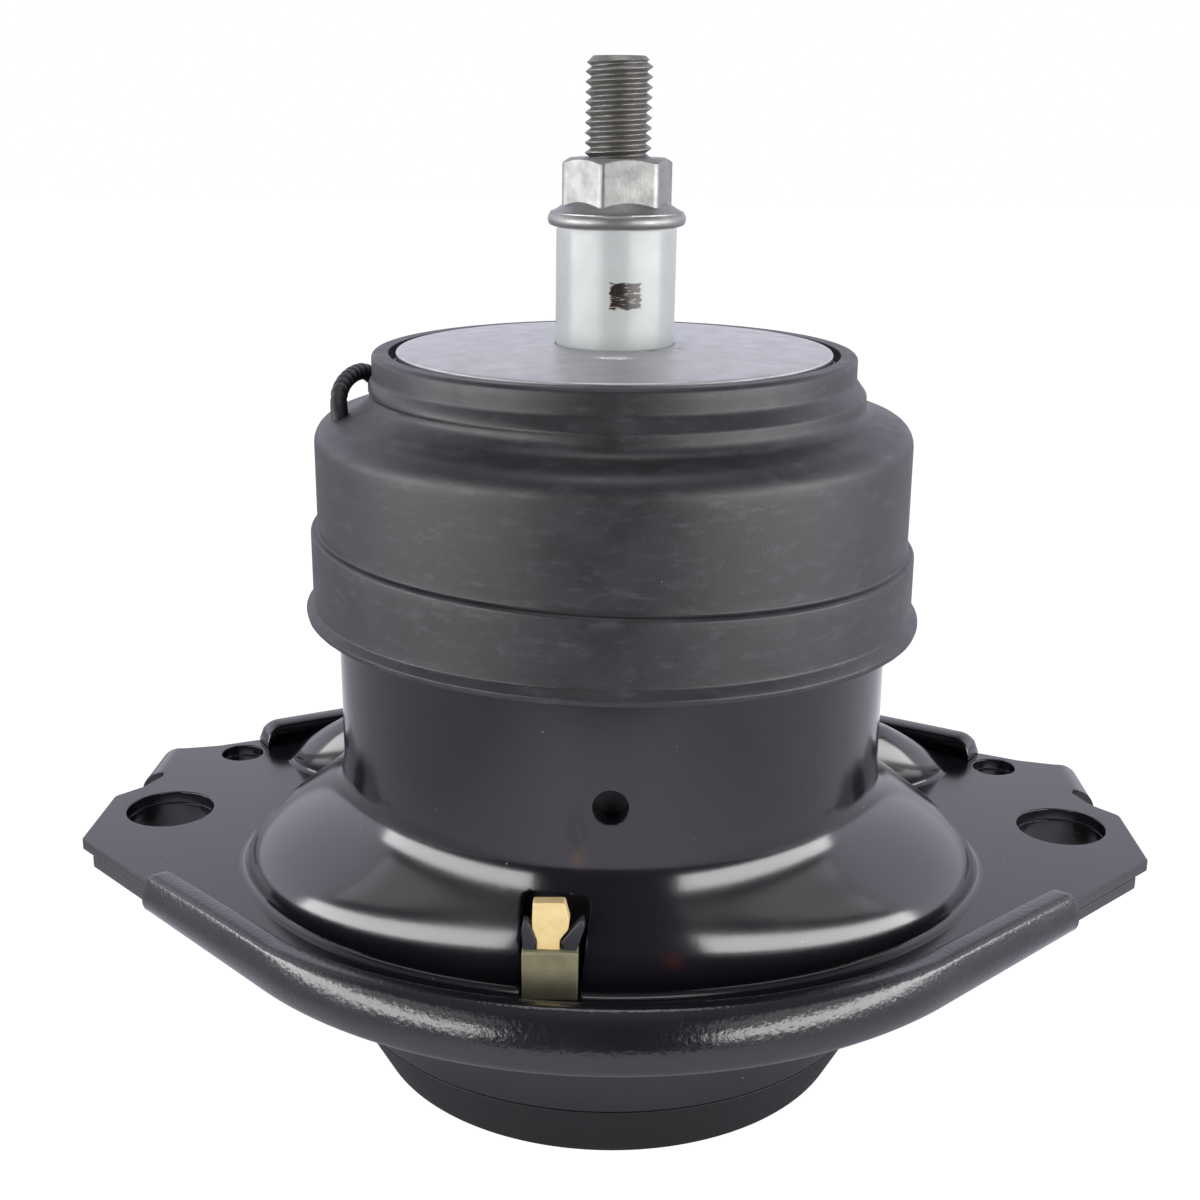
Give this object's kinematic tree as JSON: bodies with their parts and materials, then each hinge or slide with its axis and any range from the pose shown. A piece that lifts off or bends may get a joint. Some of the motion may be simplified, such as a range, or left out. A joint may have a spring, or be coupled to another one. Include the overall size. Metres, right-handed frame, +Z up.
{
  "type": "engine mount",
  "caption": "Hydraulic engine mount: layered pressed steel base with bolt ears, black canister with rubber boot, and a threaded stud with sleeve and flange nut.",
  "frame": {"origin": "middle of the bottom cup's underside, on the stud's axis", "axes": "+Z up along the stud, +X through the right bolt ear, -Y towards the front, where the clip window is"},
  "size_m": [0.2184, 0.171, 0.1926],
  "materials": {
    "housing_paint": "gloss",
    "plate_paint": "satin",
    "cup_plastic": "matte",
    "boot_rubber": "matte",
    "spring_rubber": "matte",
    "cast_aluminium": "matte",
    "zinc_steel": "bright",
    "stud_steel": "dull",
    "shell_steel": "dull",
    "sleeve_nylon": "satin",
    "clip_plastic": "satin",
    "tongue_plastic": "satin",
    "channel_aluminium": "cast"
  },
  "bodies": {
    "root": {"upper_housing": "housing_paint", "lower_plate": "plate_paint", "bottom_cup": "cup_plastic", "diaphragm_ring": "shell_steel", "diaphragm": "spring_rubber", "channel_plate_lower": "channel_aluminium", "channel_plate_upper": "channel_aluminium", "channel_rivets": "channel_aluminium", "fill_plug": "shell_steel", "decoupler": "spring_rubber", "seal_ring": "spring_rubber", "spring_shell": "shell_steel", "core": "cast_aluminium", "main_spring": "spring_rubber", "bump_ring": "spring_rubber", "boot": "boot_rubber", "boot_tether": "boot_rubber", "stud": "stud_steel", "spacer_sleeve": "sleeve_nylon", "flange_nut": "zinc_steel", "clip_block": "clip_plastic", "clip_tongue": "tongue_plastic", "clip_hook_left": "cup_plastic", "clip_hook_right": "cup_plastic"}
  },
  "joints": []
}
